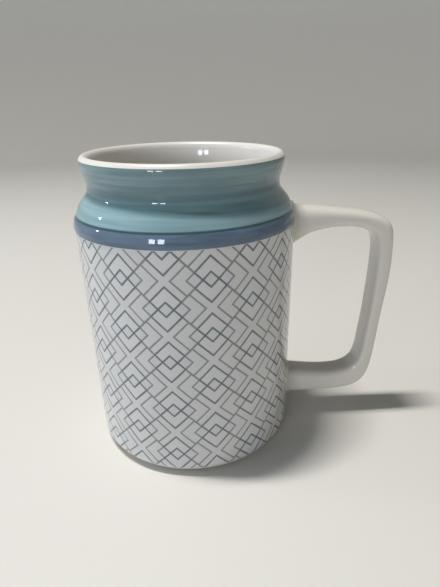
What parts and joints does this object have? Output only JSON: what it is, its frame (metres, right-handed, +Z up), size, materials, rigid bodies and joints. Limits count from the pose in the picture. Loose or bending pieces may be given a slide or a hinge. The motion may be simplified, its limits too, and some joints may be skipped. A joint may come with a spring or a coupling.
{
  "type": "ceramic mug",
  "caption": "Stoneware mug with a flared, hollow neck, a raised band, a printed tapering wall and a squared strap handle.",
  "frame": {"origin": "middle of the foot ring's resting plane, on the mug's axis", "axes": "+Z up along the mug's axis, +X towards the handle, +Y to the left of someone looking along +X"},
  "size_m": [0.1297, 0.088, 0.121],
  "materials": {
    "stoneware": "unglazed, fine and matt",
    "slip": "glossy white",
    "white_glaze": "glossy white",
    "liner_glaze": "glossy warm white",
    "teal_glaze": "glossy, brushed watercolour teal",
    "slate_glaze": "glossy slate blue",
    "printed_transfer": "glossy pale ground with fine slate lines"
  },
  "bodies": {
    "root": {"stoneware_body": "stoneware", "handle": "stoneware", "upper_slip_joint": "slip", "lower_slip_joint": "slip", "handle_glaze": "white_glaze", "wall_glaze": "white_glaze", "liner_glaze": "liner_glaze", "base_glaze": "liner_glaze", "neck_glaze": "teal_glaze", "band_glaze": "slate_glaze", "front_transfer": "printed_transfer", "rear_transfer": "printed_transfer"}
  },
  "joints": []
}
